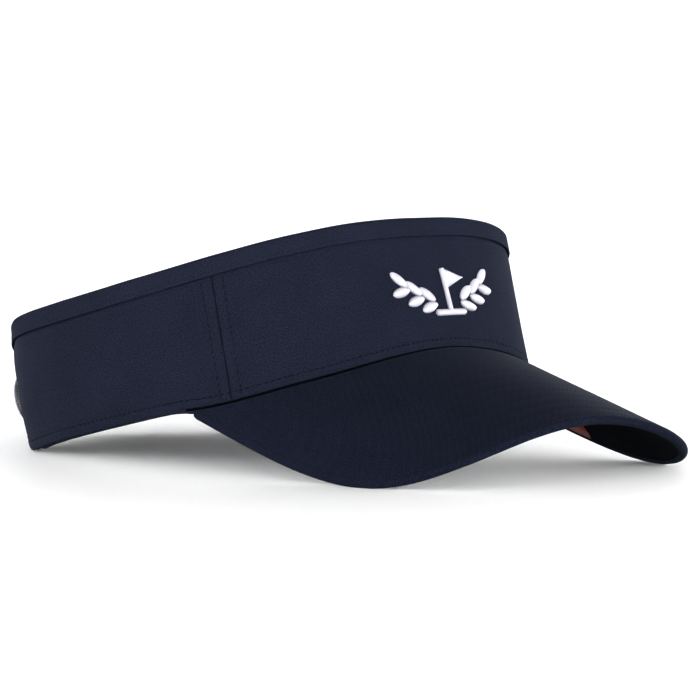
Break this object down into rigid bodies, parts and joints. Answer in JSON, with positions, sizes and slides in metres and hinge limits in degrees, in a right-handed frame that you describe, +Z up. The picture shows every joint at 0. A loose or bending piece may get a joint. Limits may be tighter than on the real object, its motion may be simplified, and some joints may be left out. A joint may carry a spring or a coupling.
{
  "type": "sun visor",
  "caption": "Golf-style sun visor: open-crown fabric band with curved brim, sweatband, raised front embroidery and a hook-and-loop rear strap that adjusts and peels open.",
  "frame": {"origin": "centre of the bounding box in plan, on the surface that the visor rests on", "axes": "+Z up as it rests on its brim edges and rear edge; -Y towards the brim's front edge; -X is the wearer's right side"},
  "size_m": [0.1916, 0.2738, 0.0945],
  "materials": {
    "twill": "soft brushed cotton twill, navy",
    "brim_twill": "cotton twill over board, navy",
    "under_twill": "dark twill",
    "lining": "plain-woven lining",
    "stiffener": "white buckram",
    "tape": "bias tape",
    "sweatband": "knitted wicking fabric",
    "foam": "soft open-cell foam",
    "board": "flexible sheet",
    "thread_white": "raised satin stitch",
    "hook": "moulded hooks on woven tape",
    "loop": "napped loop pile",
    "label": "woven label, blank",
    "sticker": "coated paper, blank"
  },
  "bodies": {
    "visor": {"front_panel": "twill", "side_panel_right": "twill", "side_panel_left": "twill", "side_lining_right": "lining", "side_lining_left": "lining", "front_lining": "lining", "front_interlining": "stiffener", "seam_tape_right": "tape", "seam_tape_left": "tape", "top_binding": "tape", "wing_end_binding_right": "tape", "wing_end_binding_left": "tape", "sweatband_cover": "sweatband", "sweatband_foam": "foam", "size_label": "label", "care_label": "label", "brim_board": "board", "brim_top_cover": "brim_twill", "brim_under_cover": "under_twill", "front_embroidery": "thread_white", "under_brim_sticker": "sticker", "loop_pad": "loop"},
    "strap": {"closure_strap": "twill"},
    "tab": {"closure_tab": "twill", "hook_pad": "hook"}
  },
  "joints": [
    {"name": "size_adjust", "type": "hinge", "parent": "visor", "child": "strap", "pos_m": [0, 0.03473, 0.03778], "axis": [0, 0.2423, 0.9702], "range_deg": [-12, 10]},
    {"name": "tab_peel", "type": "hinge", "parent": "strap", "child": "tab", "pos_m": [-0.02478, 0.13115, 0.01371], "axis": [0, -0.2423, -0.9702], "range_deg": [0, 100]}
  ]
}
